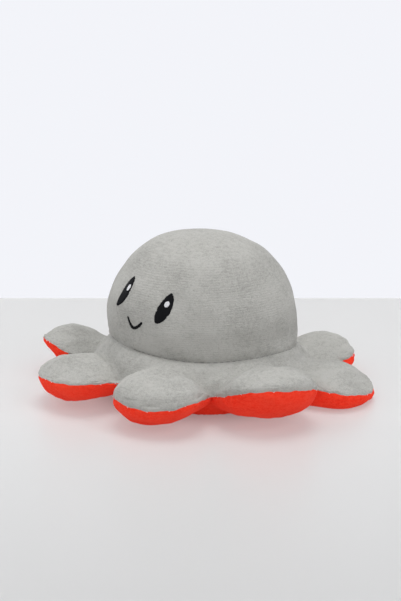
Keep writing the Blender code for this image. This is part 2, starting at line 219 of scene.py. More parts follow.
# One row for each leg. Reach and widths are in plan; skew moves the tip sideways. Seam, crest and
# belly are heights over the floor: the seam from crotch to tip to crotch, the others from root to
# tip. Crown and sole are how full the leg is across, above and below; nose and toe, along it. Tilt
# turns the belly about the leg's length; blend is how softly the leg grows out of the skirt; groove
# is how deep the fold across its root is; drape is how the skirt falls to the crotch on each side.
LEG_SHAPES = {
    1: dict(reach=101.2, widths=(24.2, 26.6), skew=2.2,
            seam=(16.5, 15.8, 17.0, 16.6, 15.7, 16.6, 18.6, 17.0, 14.4),
            crest=(29.3, 29.6, 29.6, 29.2, 28.5, 28.0), belly=(1.8, 1.4, 2.3, 4.2, 6.2, 7.8),
            crown=2.2, sole=1.85, nose=2.2, toe=2.0, tilt=4.2, blend=7.0, groove=0.0, drape=(1.7, 2.6)),
    2: dict(reach=102.6, widths=(26.4, 26.4), skew=0.0,
            seam=(14.4, 18.6, 23.6, 26.2, 25.4, 23.5, 19.7, 15.0, 12.4),
            crest=(29.0, 30.2, 32.0, 33.0, 33.5, 33.5), belly=(1.8, 3.1, 5.1, 7.5, 10.2, 12.5),
            crown=2.2, sole=2.2, nose=2.2, toe=2.0, tilt=-2.2, blend=7.0, groove=0.3, drape=(2.6, 1.1)),
    3: dict(reach=99.2, widths=(26.6, 25.4), skew=-1.5,
            seam=(12.4, 12.2, 10.2, 8.0, 5.6, 5.4, 6.6, 8.8, 10.6),
            crest=(20.2, 20.4, 19.7, 17.0, 12.8, 9.2), belly=(0, 0, 0, 0, 0, 0),
            crown=1.8, sole=3.2, nose=1.9, toe=3.0, tilt=0.0, blend=3.0, groove=0.3, drape=(1.1, 0.5)),
    4: dict(reach=92.6, widths=(26.2, 26.2), skew=0.0,
            seam=(10.6, 10.4, 12.3, 10.8, 8.6, 7.6, 8.0, 9.2, 12.0),
            crest=(15.0, 16.6, 18.6, 20.0, 20.7, 20.6), belly=(0, 0, 0, 1.0, 3.5, 6.5),
            crown=1.7, sole=2.6, nose=2.3, toe=2.0, tilt=-1.0, blend=3.0, groove=0.8, drape=(0.5, 1.0)),
    5: dict(reach=97.5, widths=(26.4, 26.2), skew=0.5,
            seam=(12.0, 12.6, 13.6, 12.8, 11.5, 12.0, 13.5, 13.4, 13.0),
            crest=(23.0, 23.5, 24.5, 24.2, 23.2, 22.2), belly=(0, 0, 0.5, 1.5, 2.5, 3.5),
            crown=1.9, sole=2.2, nose=2.2, toe=2.0, tilt=0.0, blend=4.0, groove=0.8, drape=(1.0, 1.2)),
    6: dict(reach=97.4, widths=(26.2, 26.4), skew=-0.5,
            seam=(13.0, 14.0, 14.6, 13.2, 11.0, 9.6, 9.4, 10.4, 12.6),
            crest=(24.0, 24.5, 25.5, 25.0, 24.0, 23.0), belly=(0, 0, 0.8, 2.0, 3.5, 4.5),
            crown=1.9, sole=2.2, nose=2.2, toe=2.0, tilt=0.0, blend=4.0, groove=0.6, drape=(1.2, 1.1)),
    7: dict(reach=99.8, widths=(25.8, 26.4), skew=-3.0,
            seam=(12.6, 12.4, 13.4, 15.6, 18.2, 21.6, 22.8, 18.6, 13.6),
            crest=(16.2, 19.8, 24.4, 26.4, 26.9, 25.4), belly=(0, 0.5, 3.6, 8.6, 14.6, 20.4),
            crown=1.8, sole=1.9, nose=2.0, toe=1.8, tilt=0.0, blend=2.0, groove=0.8, drape=(1.1, 1.2)),
    8: dict(reach=100.1, widths=(26.2, 26.6), skew=0.0,
            seam=(13.6, 13.0, 13.2, 14.6, 17.0, 17.8, 18.2, 18.0, 16.5),
            crest=(24.6, 26.2, 26.8, 26.4, 24.6, 21.6), belly=(4.4, 3.4, 3.4, 3.5, 3.8, 3.8),
            crown=1.9, sole=1.6, nose=1.8, toe=2.0, tilt=1.4, blend=2.5, groove=0.6, drape=(1.2, 1.7)),
}

# Creases as (side, points, depth, width): side 1 is the grey cloth and -1 the red; points are
# azimuths and radii. A negative depth is a ridge.
CREASES = (
    (1, ((319, 59.5), (330, 60.6), (345, 62.4), (357, 66.4)), 2.6, 1.5),
    (1, ((284, 63.0), (297, 63.6), (307, 66.8)), 1.5, 1.4),
    (1, ((58.5, 65.8), (65, 62.2), (71.5, 58.8)), 1.4, 2.0),
    (1, ((100, 58.6), (97, 61.5), (93.5, 65.5)), 1.3, 1.5),
    (1, ((0, 56.5), (0, 67.0)), 0.9, 4.5),
    (1, ((43.0, 66.6), (46.5, 64.6)), 0.35, 0.9),
    (1, ((128.5, 53.5), (131.0, 60.5)), -1.1, 0.9),
    (1, ((133.0, 53.8), (136.0, 62.0)), -1.0, 0.9),
    (1, ((130.7, 53.5), (133.5, 61.5)), 0.8, 0.8),
    (-1, ((46.5, 69.5), (51.0, 66.5), (55.5, 62.5), (60.0, 58.5)), 2.2, 1.2),
    (-1, ((43.5, 68.6), (39.0, 62.5), (34.5, 57.0)), 2.2, 1.2),
    (-1, ((352, 71.0), (344, 75.0), (336, 78.0)), 0.9, 1.5),
)
# a crease is followed by this many points, and fades out over this share at its ends
CREASE_POINTS = 40
CREASE_END = 0.04
# it begins at this distance from the seam, and is full after the next
CREASE_START, CREASE_REACH = 0.3, 2


# Small mathematics
def ease(share):
    share = np.clip(share, 0, 1)
    return share * share * (3 - 2 * share)


def smooth_max(a, b, width):
    width = np.maximum(width, 1e-4)
    share = np.clip(0.5 + 0.5 * (a - b) / width, 0, 1)
    return b + (a - b) * share + width * share * (1 - share) / 2


def smooth_min(a, b, width):
    return -smooth_max(-a, -b, width)


def spline(values, at):
    """A smooth curve through evenly spaced values, at places from 0 to 1."""
    values = np.asarray(values, float)
    count = len(values) - 1
    place = np.clip(at, 0, 1) * count
    index = np.minimum(place.astype(int), count - 1)
    part = place - index
    slopes = np.gradient(values)
    a, b = values[index], values[index + 1]
    ma, mb = slopes[index], slopes[index + 1]
    square, cube = part**2, part**3
    return (
        a * (2 * cube - 3 * square + 1) + ma * (cube - 2 * square + part)
        + b * (3 * square - 2 * cube) + mb * (cube - square)
    )


def ripples(points, length, seed, count=9):
    """Smooth bumps of about the given length, from -1 to 1, the same on every run."""
    draw = np.random.RandomState(seed)
    total = np.zeros(points.shape[:-1])
    for _ in range(count):
        way = draw.normal(size=3)
        way *= draw.uniform(0.7, 1.4) / (length * np.linalg.norm(way))
        total += np.sin(2 * math.pi * (points @ way) + draw.uniform(0, 2 * math.pi))
    return total / math.sqrt(count * 1.4)


def lumps(points, layers):
    """The sum of layers of ripples, each given by its size, length and seed."""
    return sum(size * ripples(points, length, seed) for size, length, seed in layers)


def folds(turns, waves):
    """Folds round an axis. Each wave is its share, its count, its sway and the sway's count."""
    return sum(share * np.sin(count * turns + sway * np.sin(bends * turns))
               for share, count, sway, bends in waves)


def distances(line):
    """Distance of each point of a line from its first, measured along it."""
    return np.concatenate([[0], np.cumsum(np.linalg.norm(np.diff(line, axis=0), axis=1))])


def along_line(line, steps, at):
    """Points of a line at the given distances along it."""
    return np.stack([np.interp(at, steps, values) for values in line.T], -1)


# Meshes
def grid_faces(rows, columns, wrap):
    faces = []
    for row in range(rows - 1):
        for column in range(columns if wrap else columns - 1):
            following = (column + 1) % columns
            start, above = row * columns, (row + 1) * columns
            faces.append((start + column, above + column, above + following, start + following))
    return faces


def shell_faces(rows, columns, wrap):
    """Faces of a closed shell whose points are an outer grid and then the inner grid behind it."""
    shift = rows * columns
    faces = grid_faces(rows, columns, wrap)
    faces += [tuple(index + shift for index in reversed(face)) for face in faces]
    edges = []
    for row, step in ((0, 1), (rows - 1, -1)):
        for column in range(columns if wrap else columns - 1):
            edges.append([row * columns + column, row * columns + (column + 1) % columns][::step])
    if not wrap:
        for column, step in ((0, -1), (columns - 1, 1)):
            for row in range(rows - 1):
                edges.append([row * columns + column, (row + 1) * columns + column][::step])
    return faces + [(b, a, a + shift, b + shift) for a, b in edges]


def sheet_normals(sheet, wrap):
    """Normals of a grid of points, pointing to the side from which its rows run anticlockwise."""
    across = np.gradient(sheet, axis=1)
    if wrap:
        across = (np.roll(sheet, -1, axis=1) - np.roll(sheet, 1, axis=1)) / 2
    down = np.gradient(sheet, axis=0)
    normals = np.cross(down, across)
    length = np.linalg.norm(normals, axis=2, keepdims=True)
    return normals / np.maximum(length, 1e-12)


def make_piece(name, points, faces, material, normals=None):
    """Makes a mesh object from points in millimetres. Points that fall together become one."""
    points = np.asarray(points, float)
    _, first, index = np.unique(np.round(points, 4), axis=0, return_index=True, return_inverse=True)
    order = np.argsort(first)
    index = np.argsort(order)[index.ravel()].tolist()
    first = first[order]
    clean = [list(dict.fromkeys(index[corner] for corner in face)) for face in faces]
    clean = [face for face in clean if len(face) > 2]
    mesh = bpy.data.meshes.new(name)
    mesh.from_pydata((points[first] * MM).tolist(), [], clean)
    mesh.validate()
    build = bmesh.new()
    build.from_mesh(mesh)
    bmesh.ops.recalc_face_normals(build, faces=build.faces)
    if build.calc_volume(signed=True) < 0:
        bmesh.ops.reverse_faces(build, faces=build.faces)
    build.to_mesh(mesh)
    build.free()
    mesh.shade_smooth()
    rest = mesh.attributes.new("rest", "FLOAT_VECTOR", "POINT")
    rest.data.foreach_set("vector", (points[first] * MM).astype(np.float32).ravel())
    if normals is not None:
        mesh.normals_split_custom_set_from_vertices(normals[first].tolist())
    mesh.materials.append(material)
    item = bpy.data.objects.new(name, mesh)
    bpy.context.scene.collection.objects.link(item)
    return item


def make_shell(name, sheet, normals, wrap, thickness, material):
    """A closed piece of cloth: the sheet, the same sheet moved in by its thickness, and the rim.

    The thickness is one value, or one for each point of the sheet.
    """
    rows, columns = sheet.shape[:2]
    outer = sheet.reshape(-1, 3)
    flat = normals.reshape(-1, 3)
    inner = outer - flat * np.broadcast_to(thickness, (rows, columns)).reshape(-1, 1)
    points = np.concatenate([outer, inner])
    return make_piece(name, points, shell_faces(rows, columns, wrap), material, np.concatenate([flat, -flat]))


# Materials
def new_material(name):
    material = bpy.data.materials.new(name)
    material.use_nodes = True
    nodes = material.node_tree.nodes
    return material, nodes, material.node_tree.links, nodes["Principled BSDF"]


def set_inputs(node, values):
    for socket, value in values.items():
        node.inputs[socket].default_value = value


def rest_place(nodes):
    """The place of each point at rest, so that a pattern moves with its cloth."""
    node = nodes.new("ShaderNodeAttribute")
    node.attribute_name = "rest"
    return node.outputs["Vector"]


def noise(nodes, links, place, scale, detail, rough):
    node = nodes.new("ShaderNodeTexNoise")
    set_inputs(node, {"Scale": scale, "Detail": detail, "Roughness": rough})
    links.new(place, node.inputs["Vector"])
    return node.outputs["Fac"]


def ramp(nodes, links, value, stops, kind="LINEAR"):
    """A colour that follows a value. Each stop is a value and its colour."""
    node = nodes.new("ShaderNodeValToRGB")
    node.color_ramp.interpolation = kind
    elements = node.color_ramp.elements
    for at, _ in stops[1:-1]:
        elements.new(at)
    for element, (at, colour) in zip(elements, stops):
        element.position = at
        element.color = (*colour, 1)
    links.new(value, node.inputs["Fac"])
    return node.outputs["Color"]


def bump(nodes, links, shader, height, strength, distance):
    node = nodes.new("ShaderNodeBump")
    set_inputs(node, {"Strength": strength, "Distance": distance})
    links.new(height, node.inputs["Height"])
    links.new(node.outputs["Normal"], shader.inputs["Normal"])


def weighted(nodes, links, parts, total):
    """The total plus each part's value times its share."""
    for value, share in parts:
        node = nodes.new("ShaderNodeMath")
        node.operation = "MULTIPLY_ADD"
        links.new(value, node.inputs[0])
        node.inputs[1].default_value = share
        if isinstance(total, float):
            node.inputs[2].default_value = total
        else:
            links.new(total, node.inputs[2])
        total = node.outputs[0]
    return total


def velour(name, dark, light, bright, sheen):
    """Short-pile velour: a fine mottled nap, faint knitted ribs, and a soft sheen at the edges."""
    material, nodes, links, shader = new_material(name)
    rest = rest_place(nodes)
    # the nap is finer up the toy than round it
    stretch = nodes.new("ShaderNodeMapping")
    stretch.inputs["Scale"].default_value = (1.0, 1.0, 1.8)
    links.new(rest, stretch.inputs["Vector"])
    patches = noise(nodes, links, rest, 45, 2, 0.55)
    nap = noise(nodes, links, stretch.outputs["Vector"], 420, 3, 0.6)
    fuzz = noise(nodes, links, stretch.outputs["Vector"], 1500, 2, 0.7)
    tone = weighted(nodes, links, ((patches, 0.62), (nap, 0.70), (fuzz, 1.10)), -0.35)
    colour = ramp(nodes, links, tone, ((0.56, dark), (0.75, light), (0.95, bright)))
    links.new(colour, shader.inputs["Base Color"])
    ribs = nodes.new("ShaderNodeTexWave")
    ribs.wave_type = "BANDS"
    ribs.bands_direction = "Z"
    set_inputs(ribs, {"Scale": 260, "Distortion": 1.6, "Detail": 2, "Detail Scale": 1.3})
    links.new(rest, ribs.inputs["Vector"])
    relief = weighted(nodes, links, ((ribs.outputs["Fac"], 0.22), (nap, 0.7)), fuzz)
    bump(nodes, links, shader, relief, 0.5, 0.0006)
    set_inputs(shader, {
        "Roughness": 0.95, "Specular IOR Level": 0.10,
        "Sheen Weight": sheen[0], "Sheen Roughness": 0.45, "Sheen Tint": (*sheen[1], 1),
    })
    return material


def thread(name, dark, light, roughness=0.5, specular=0.3):
    material, nodes, links, shader = new_material(name)
    fibres = noise(nodes, links, rest_place(nodes), 2600, 3, 0.5)
    links.new(ramp(nodes, links, fibres, ((0.35, dark), (0.7, light))), shader.inputs["Base Color"])
    bump(nodes, links, shader, fibres, 0.4, 0.0002)
    set_inputs(shader, {"Roughness": roughness, "Specular IOR Level": specular})
    return material


GREY = velour("grey_velour", (0.318, 0.314, 0.293), (0.386, 0.381, 0.357), (0.460, 0.455, 0.428),
              (0.12, (0.9, 0.9, 0.88)))
RED = velour("red_velour", (0.90, 0.030, 0.012), (0.97, 0.041, 0.017), (1.0, 0.062, 0.030),
             (0.05, (1.0, 0.35, 0.25)))
BLACK_THREAD = thread("black_thread", (0.0020, 0.0022, 0.0032), (0.0050, 0.0054, 0.0075), 0.6, 0.12)
WHITE_THREAD = thread("white_thread", (0.70, 0.70, 0.72), (0.88, 0.88, 0.90))
GREY_THREAD = thread("grey_thread", (0.20, 0.20, 0.19), (0.30, 0.30, 0.285), 0.7)
RED_THREAD = thread("red_thread", (0.50, 0.02, 0.01), (0.66, 0.04, 0.02), 0.7)


# Head
def lean_shift(height):
    """How far the dome leans off the toy's axis at a height."""
    amount = LEAN * ease((np.asarray(height) - NECK_HEIGHT) / (LEAN_TOP - NECK_HEIGHT))
    return amount[..., None] * np.array([math.cos(LEAN_WAY), math.sin(LEAN_WAY)])


def dome_rows(dome, bottom, rows, sides):
    """A grid of points on a rounded dome, from its crown to a bottom edge of the given heights."""
    rise, middle, power = dome[1:4]
    turns = np.arange(sides) * 2 * math.pi / sides
    level = (bottom(turns) - middle) / rise
    lowest = np.arcsin(np.sign(level) * np.abs(level) ** (power / 2))
    angle = math.pi / 2 + (lowest - math.pi / 2) * np.linspace(0, 1, rows)[:, None]
    height = middle + rise * np.sign(np.sin(angle)) * np.abs(np.sin(angle)) ** (2 / power)
    across = dome_radius(height, dome)
    across[0] = 0
    return np.stack([across * np.cos(turns), across * np.sin(turns), height], -1)


def head_dents(turns, height):
    """Broad dents and bumps of the head's filling."""
    total = np.zeros_like(height)
    for azimuth, level, wide, high, size in HEAD_DENTS:
        gap = azimuth_gap(turns, azimuth) * dome_radius(height, HEAD)
        total += size * np.exp(-((gap / wide) ** 2) - ((height - level) / high) ** 2)
    return total


def crown_bump(sheet):
    """The crown's low bump, on the side that the dome leans to."""
    side = sheet[..., :2] @ np.array([math.cos(LEAN_WAY), math.sin(LEAN_WAY)]) - CROWN_BUMP_PLACE
    cross = sheet[..., :2] @ np.array([-math.sin(LEAN_WAY), math.cos(LEAN_WAY)])
    long, wide = CROWN_BUMP_HALVES
    rise = ease((sheet[..., 2] - CROWN_BUMP_START) / (CROWN_BUMP_FULL - CROWN_BUMP_START))
    return CROWN_BUMP * np.exp(-((side / long) ** 2) - (cross / wide) ** 2) * rise


def head_sheet():
    sheet = dome_rows(HEAD, neck_height, HEAD_ROWS, HEAD_SIDES)
    normals = sheet_normals(sheet, True)
    normals[0] = (0, 0, 1)
    height = sheet[..., 2]
    turns = np.arctan2(sheet[..., 1], sheet[..., 0])
    above = height - neck_height(turns)
    push = lumps(sheet, HEAD_LUMPS) + head_dents(turns, height)
    push += GATHER * folds(turns, GATHERS) * np.exp(-above / GATHER_REACH)
    push *= ease((LUMPS_TOP - height) / LUMPS_FADE) * (1 - np.exp(-above / LUMPS_FOOT))
    push += crown_bump(sheet)
    sheet = sheet + normals * push[..., None]
    sheet[..., :2] += lean_shift(height)
    # the cloth turns in to the seam
    depth = neck_curl(turns) * np.exp(-((above / CURL_LENGTH) ** 2))
    sheet[..., :2] -= np.stack([np.cos(turns), np.sin(turns)], -1) * depth[..., None]
    sheet[0] = sheet[0].mean(0)
    return sheet


def build_head():
    sheet = head_sheet()
    normals = sheet_normals(sheet, True)
    normals[0] = normals[1].mean(0) / np.linalg.norm(normals[1].mean(0))
    head = make_shell("head_velour", sheet, normals, True, CLOTH, GREY)
    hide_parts("head_cover", "head_filling")
    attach(head, "body")
    return head


# Lobes: the cloth of one leg from the neck to its tip, grey above and red below
def lobe_outline(shape):
    """Plan of a leg's edge in its own frame, evenly spaced from the crotch at -y to the one at +y."""
    near = np.linspace(0, 1, 80)[:-1]
    far = np.linspace(0, math.pi / 2, 160)
    power = 2 / ROUNDNESS
    x = np.concatenate([WIDEST * near, WIDEST + (1 - WIDEST) * np.sin(far) ** power])
    low, high = [
        np.concatenate([CROTCH_HALF + (width - CROTCH_HALF) * ease(near), width * np.cos(far) ** power])
        for width in shape["widths"]
    ]
    points = np.concatenate([np.stack([x, -low], 1), np.stack([x, high], 1)[::-1][1:]])
    points[:, 1] += shape["skew"] * points[:, 0] ** 2
    points[:, 0] = HINGE + (shape["reach"] - HINGE) * points[:, 0]
    steps = distances(points)
    return along_line(points, steps, np.linspace(0, steps[-1], WEDGE_COLUMNS)), steps[-1]


def rows_to_seam(count, draw):
    """Places of rows from 0 to 1, closer together near 1, and closer still as draw nears 1."""
    share = np.linspace(0, 1, count)
    share = (1 - draw) * share + draw * np.sin(share * math.pi / 2)
    return (np.sin(share * math.pi / 2) + 1 - (1 - share) ** 2) / 2


class Lobe:
    """Heights of one leg's cloth over any place in its wedge."""

    def __init__(self, leg):
        self.leg = leg
        self.shape = LEG_SHAPES[leg]
        self.turn = math.radians(WEDGE * (leg - 0.5) - 90)
        self.edge, self.edge_length = lobe_outline(self.shape)
        self.places = np.linspace(0, 1, WEDGE_COLUMNS)
        self.seam = spline(self.shape["seam"], self.places)
        self.length = self.shape["reach"] - HINGE

    def hold(self, start):
        """A share along the leg's edge that is 0 at each crotch and 1 from the start's distance on."""
        return ease(np.minimum(self.places, 1 - self.places) * self.edge_length / start)

    def seam_waves(self):
        """How far the seam sways out and up along the leg's edge, the same for both cloths."""
        along = self.places * self.edge_length
        draw = np.random.RandomState(90 + self.leg)
        waves = []
        for size in SEAM_SWAY:
            wave = np.zeros(WEDGE_COLUMNS)
            for length, share in SWAY_WAVES:
                wave += share * np.sin(2 * math.pi * along / length + draw.uniform(0, 2 * math.pi))
            waves.append(size * wave * self.hold(SWAY_START))
        return waves

    def across(self, x, y):
        """Place across the leg from -1 to 1, and the seam's height there."""
        middle = self.shape["skew"] * np.clip((x - HINGE) / self.length, 0, 1) ** 2
        tip = int(np.argmax(self.edge[:, 0]))
        low, high = self.edge[: tip + 1], self.edge[tip:][::-1]
        inside = np.clip(x, HINGE, None)
        below = np.interp(inside, low[:, 0], low[:, 1]) - middle
        above = np.interp(inside, high[:, 0], high[:, 1]) - middle
        root = x * SPREAD
        below = np.where(x < HINGE, -root, below)
        above = np.where(x < HINGE, root, above)
        side = y - middle
        place = np.where(side < 0, -side / np.minimum(below, -1e-6), side / np.maximum(above, 1e-6))
        place = np.clip(place, -1, 1)
        seam_low = np.interp(inside, low[:, 0], self.seam[: tip + 1])
        seam_high = np.interp(inside, high[:, 0], self.seam[tip:][::-1])
        return place, seam_low + (seam_high - seam_low) * (1 + place) / 2

    def swell(self, x, place, along, across, soft_root):
        """How far the filling has risen, from 0 at the seam to 1 along the middle."""
        share = np.clip((x - HINGE) / self.length, 0, 1)
        closing = np.clip((share - WIDEST) / (1 - WIDEST), 0, 1)
        inner = np.maximum(1 - closing**along, 0) ** (1 / along)
        full = np.maximum(1 - np.abs(place) ** across, 0) ** (1 / across)
        if soft_root:
            soft = np.maximum(1 - place**2, 0) ** SOFT_POWER
            full = soft + (full - soft) * ease(share / SOFT_REACH)
        return inner * full

    def top(self, x, y):
        """Height of the grey cloth."""
        place, seam = self.across(x, y)
        share = np.clip((x - HINGE) / self.length, 0, 1)
        shape = self.shape
        full = self.swell(x, place, shape["nose"], shape["crown"], True)
        lobe = seam + (spline(shape["crest"], share) - seam) * full
        radius = np.hypot(x, y)
        turns = np.arctan2(y, x) + self.turn
        neck, start = neck_height(turns), neck_radius(turns)
        down = np.clip((radius - start) / (CROTCH_RADIUS - start), 0, 3)
        first, last = shape["drape"]
        skirt = neck - (neck - seam) * down ** (first + (last - first) * (1 + place) / 2)
        height = smooth_max(lobe, skirt, shape["blend"] * (1 - np.abs(place) ** 4))
        fold = np.exp(-(((x - HINGE + FOLD_INSET) / FOLD_WIDTH) ** 2)) * (1 - np.abs(place) ** 3)
        height = height - shape["groove"] * fold
        return neck + (height - neck) * ease((radius - start) / NECK_EASE)

    def under(self, x, y):
        """Height of the red cloth."""
        place, seam = self.across(x, y)
        share = np.clip((x - HINGE) / self.length, 0, 1)
        shape = self.shape
        belly = spline(shape["belly"], share) - BELLY_PRESS + shape["tilt"] * place
        lobe = seam - (seam - belly) * self.swell(x, place, shape["toe"], shape["sole"], False)
        up = np.clip((np.hypot(x, y) - BASE_OUTER) / (CROTCH_RADIUS - BASE_OUTER), 0, 1)
        skirt = (seam + BELLY_PRESS) * up**SKIRT_BOW - BELLY_PRESS
        height = smooth_min(lobe, skirt, BELLY_BLEND * (1 - np.abs(place) ** 4))
        return smooth_max(height, np.zeros_like(height), TABLE_BLEND)

    def world(self, x, y, z):
        cos, sin = math.cos(self.turn), math.sin(self.turn)
        return np.stack([x * cos - y * sin, x * sin + y * cos, z], -1)

    def sheet(self, side):
        """Grid of points from the neck, or the pocket's mouth, out to the seam."""
        angle = (self.places * 2 - 1) * HALF
        if side > 0:
            start = neck_radius(angle + self.turn)
            share = rows_to_seam(TOP_ROWS, TOP_DRAW)
        else:
            start = RINGS_END
            share = rows_to_seam(UNDER_ROWS - INNER_ROWS, 0)
        from_x, from_y = start * np.cos(angle), start * np.sin(angle)
        x = from_x + (self.edge[:, 0] - from_x) * share[:, None]
        y = from_y + (self.edge[:, 1] - from_y) * share[:, None]
        z = self.top(x, y) if side > 0 else self.under(x, y)
        z[-1] = self.seam
        if side > 0:
            # the cloth goes on a little inside the head, so that no gap opens at the neck
            tuck = 1 - NECK_TUCK / start
            x = np.concatenate([(from_x * tuck)[None], x])
            y = np.concatenate([(from_y * tuck)[None], y])
            z = np.concatenate([z[:1] + TUCK_RISE, z])
            return self.world(x, y, z)
        radius = np.linspace(POCKET_RADIUS, start, INNER_ROWS + 1)[:-1]
        fall = ease((radius - POCKET_RADIUS) / (BASE_INNER + BASE_EASE - POCKET_RADIUS))
        x = np.concatenate([radius[:, None] * np.cos(angle), x])
        y = np.concatenate([radius[:, None] * np.sin(angle), y])
        z = np.concatenate([np.repeat(POCKET_MIDDLE * (1 - fall)[:, None], len(angle), 1), z])
        return self.world(x, y, z)[:, ::-1]


def joined_normals(sheets, side):
    """Normals of the legs' sheets, the same on both sides of each border between two legs."""
    normals = {leg: sheet_normals(sheet, False) for leg, sheet in sheets.items()}
    last, first = (-1, 0) if side > 0 else (0, -1)
    for leg in sheets:
        following = leg % LEGS + 1
        middle = normals[leg][:, last] + normals[following][:, first]
        middle /= np.maximum(np.linalg.norm(middle, axis=1, keepdims=True), 1e-12)
        normals[leg][:, last] = middle
        normals[following][:, first] = middle
    return normals


def seam_distance(sheet):
    """Distance of each point from the seam at the end of its column."""
    steps = np.linalg.norm(np.diff(sheet, axis=0), axis=2)
    return np.concatenate([np.cumsum(steps[::-1], axis=0)[::-1], np.zeros((1, sheet.shape[1]))])


def creases(sheet, side):
    """How deep the creases press into the cloth at each point."""
    total = np.zeros(sheet.shape[:2])
    for its_side, knots, depth, width in CREASES:
        if its_side != side:
            continue
        azimuth, radius = np.radians([knot[0] for knot in knots]), np.array([knot[1] for knot in knots])
        line = np.stack([radius * np.sin(azimuth), -radius * np.cos(azimuth)], 1)
        steps = distances(line)
        line = along_line(line, steps, np.linspace(0, steps[-1], CREASE_POINTS))
        gap = np.hypot(sheet[..., None, 0] - line[:, 0], sheet[..., None, 1] - line[:, 1])
        along = np.clip(gap.argmin(-1) / (CREASE_POINTS - 1), CREASE_END, 1 - CREASE_END)
        total += depth * np.sin(math.pi * along) ** 0.6 * np.exp(-((gap.min(-1) / width) ** 1.4))
    return total


def filled(lobe, sheet, normals, side):
    """A sheet with the filling's lumps, puckers and wrinkles beside the seam, and creases."""
    distance = seam_distance(sheet)
    along = lobe.places[::side] * lobe.edge_length
    hold = lobe.hold(PUCKER_START)
    draw = np.random.RandomState(40 + lobe.leg)
    wave = np.zeros_like(along)
    shift, span = PUCKER_SHIFT
    for length, size in PUCKER_WAVES:
        wave += size * np.sin(2 * math.pi * along / length + draw.uniform(0, 2 * math.pi)
                              + shift * np.sin(2 * math.pi * along / span + draw.uniform(0, 6)))
    # the filling lumps the cloth away from the seams and the table
    free = ease((distance - LUMPS_START) / LUMPS_REACH)
    if side > 0:
        turns = np.arctan2(sheet[..., 1], sheet[..., 0])
        free = free * ease((np.hypot(sheet[..., 0], sheet[..., 1]) - neck_radius(turns)) / NECK_EASE)
    else:
        free = free * ease(sheet[..., 2] / LUMPS_HEIGHT)
    near_seam = np.exp(-distance / PUCKER_REACH) * (1 - np.exp(-distance / PUCKER_FLAT))
    push = PUCKER * wave * hold * near_seam + lumps(sheet, LEG_LUMPS) * free
    if side > 0:
        # the wrinkles are nearly level with the seam
        shift, span = WRINKLE_SWAY
        for away, length in WRINKLES:
            sway = away + shift * np.sin(2 * math.pi * along / span + draw.uniform(0, 6))
            shown = np.maximum(np.sin(2 * math.pi * along / length + draw.uniform(0, 6)), 0) * hold
            push -= WRINKLE * shown * np.exp(-(((distance - sway) / WRINKLE_WIDTH) ** 2))
    push -= creases(sheet, side) * ease((distance - CREASE_START) / CREASE_REACH)
    sheet = sheet + normals * push[..., None]
    if side < 0:
        sheet[..., 2] = np.maximum(sheet[..., 2], 0)
    return sheet


def sewn(lobe, sheet, side):
    """A sheet that turns in at its seams and follows the sway of the leg's seam."""
    distance = seam_distance(sheet)
    tangent = np.gradient(lobe.edge[::side], axis=0)
    tangent /= np.linalg.norm(tangent, axis=1, keepdims=True)
    out = lobe.world(side * tangent[:, 1], -side * tangent[:, 0], np.zeros(len(tangent)))
    curl = CURL_DEPTH * np.exp(-((distance / CURL_LENGTH) ** 2)) * lobe.hold(CURL_START)
    out_wave, up_wave = [wave[::side] for wave in lobe.seam_waves()]
    fade = np.exp(-distance / SWAY_REACH)
    moved = sheet + out * (out_wave * fade - curl)[..., None]
    moved[..., 2] += up_wave * fade
    if side > 0:
        flat = np.hypot(sheet[..., 0], sheet[..., 1])
        turns = np.arctan2(sheet[..., 1], sheet[..., 0])
        depth = neck_curl(turns) * np.exp(-(((flat - neck_radius(turns)) / CURL_LENGTH) ** 2))
        moved[..., :2] -= sheet[..., :2] * (depth / flat)[..., None]
    return moved


def blend_leg(piece, lobe):
    """Bakes the piece's placement into its points. The hinge's start and end are worked out, but nothing
    bends the cloth over them.
    """
    start = Vector(lobe.world(HINGE, 0, HINGE_HEIGHT)) * MM
    end = Vector(lobe.world(HINGE + BEND_LENGTH, 0, HINGE_HEIGHT)) * MM
    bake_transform(piece)


def build_legs():
    """Makes the grey and the red cloth of each leg, and returns the lobes and their seams."""
    lobes = {leg: Lobe(leg) for leg in LEG_SHAPES}
    seams = {}
    for side, word, part, material in ((1, "grey", "upper", GREY), (-1, "red", "lower", RED)):
        sheets = {leg: lobe.sheet(side) for leg, lobe in lobes.items()}
        normals = joined_normals(sheets, side)
        for leg, lobe in lobes.items():
            sheets[leg] = sewn(lobe, filled(lobe, sheets[leg], normals[leg], side), side)
        normals = joined_normals(sheets, side)
        for leg, lobe in lobes.items():
            sheet = sheets[leg]
            thickness = CLOTH * (THIN_SHARE + (1 - THIN_SHARE) * ease(seam_distance(sheet) / THIN_REACH))
            piece = make_shell(f"leg_{leg}_{word}", sheet, normals[leg], False, thickness, material)
            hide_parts(f"leg_{leg}_{part}", f"leg_{leg}_filling", f"skirt_{part}", "skirt_filling")
            blend_leg(piece, lobe)
            if side > 0:
                seams[leg] = sheet[-1]
    return lobes, seams


# Stitches: count, share that shows, and radius
NECK_STITCHES = (94, 0.66, 0.28)
MOUTH_STITCHES = (56, 0.66, 0.30)
NECK_SINK, MOUTH_SINK = 0.30, 0.1
# ends of thread along a leg's seam
THREAD_MARGIN = 4
THREAD_PITCH = 3.0
THREAD_CHANCE = 0.25
THREAD_LENGTHS = (0.8, 1.5)
THREAD_LIFT, THREAD_BEND, THREAD_SLANT = 0.25, 1.4, 0.3
THREAD_RADIUS = 0.13
# the share of a leg's length at which its middle lies
LEG_MIDDLE = 0.35


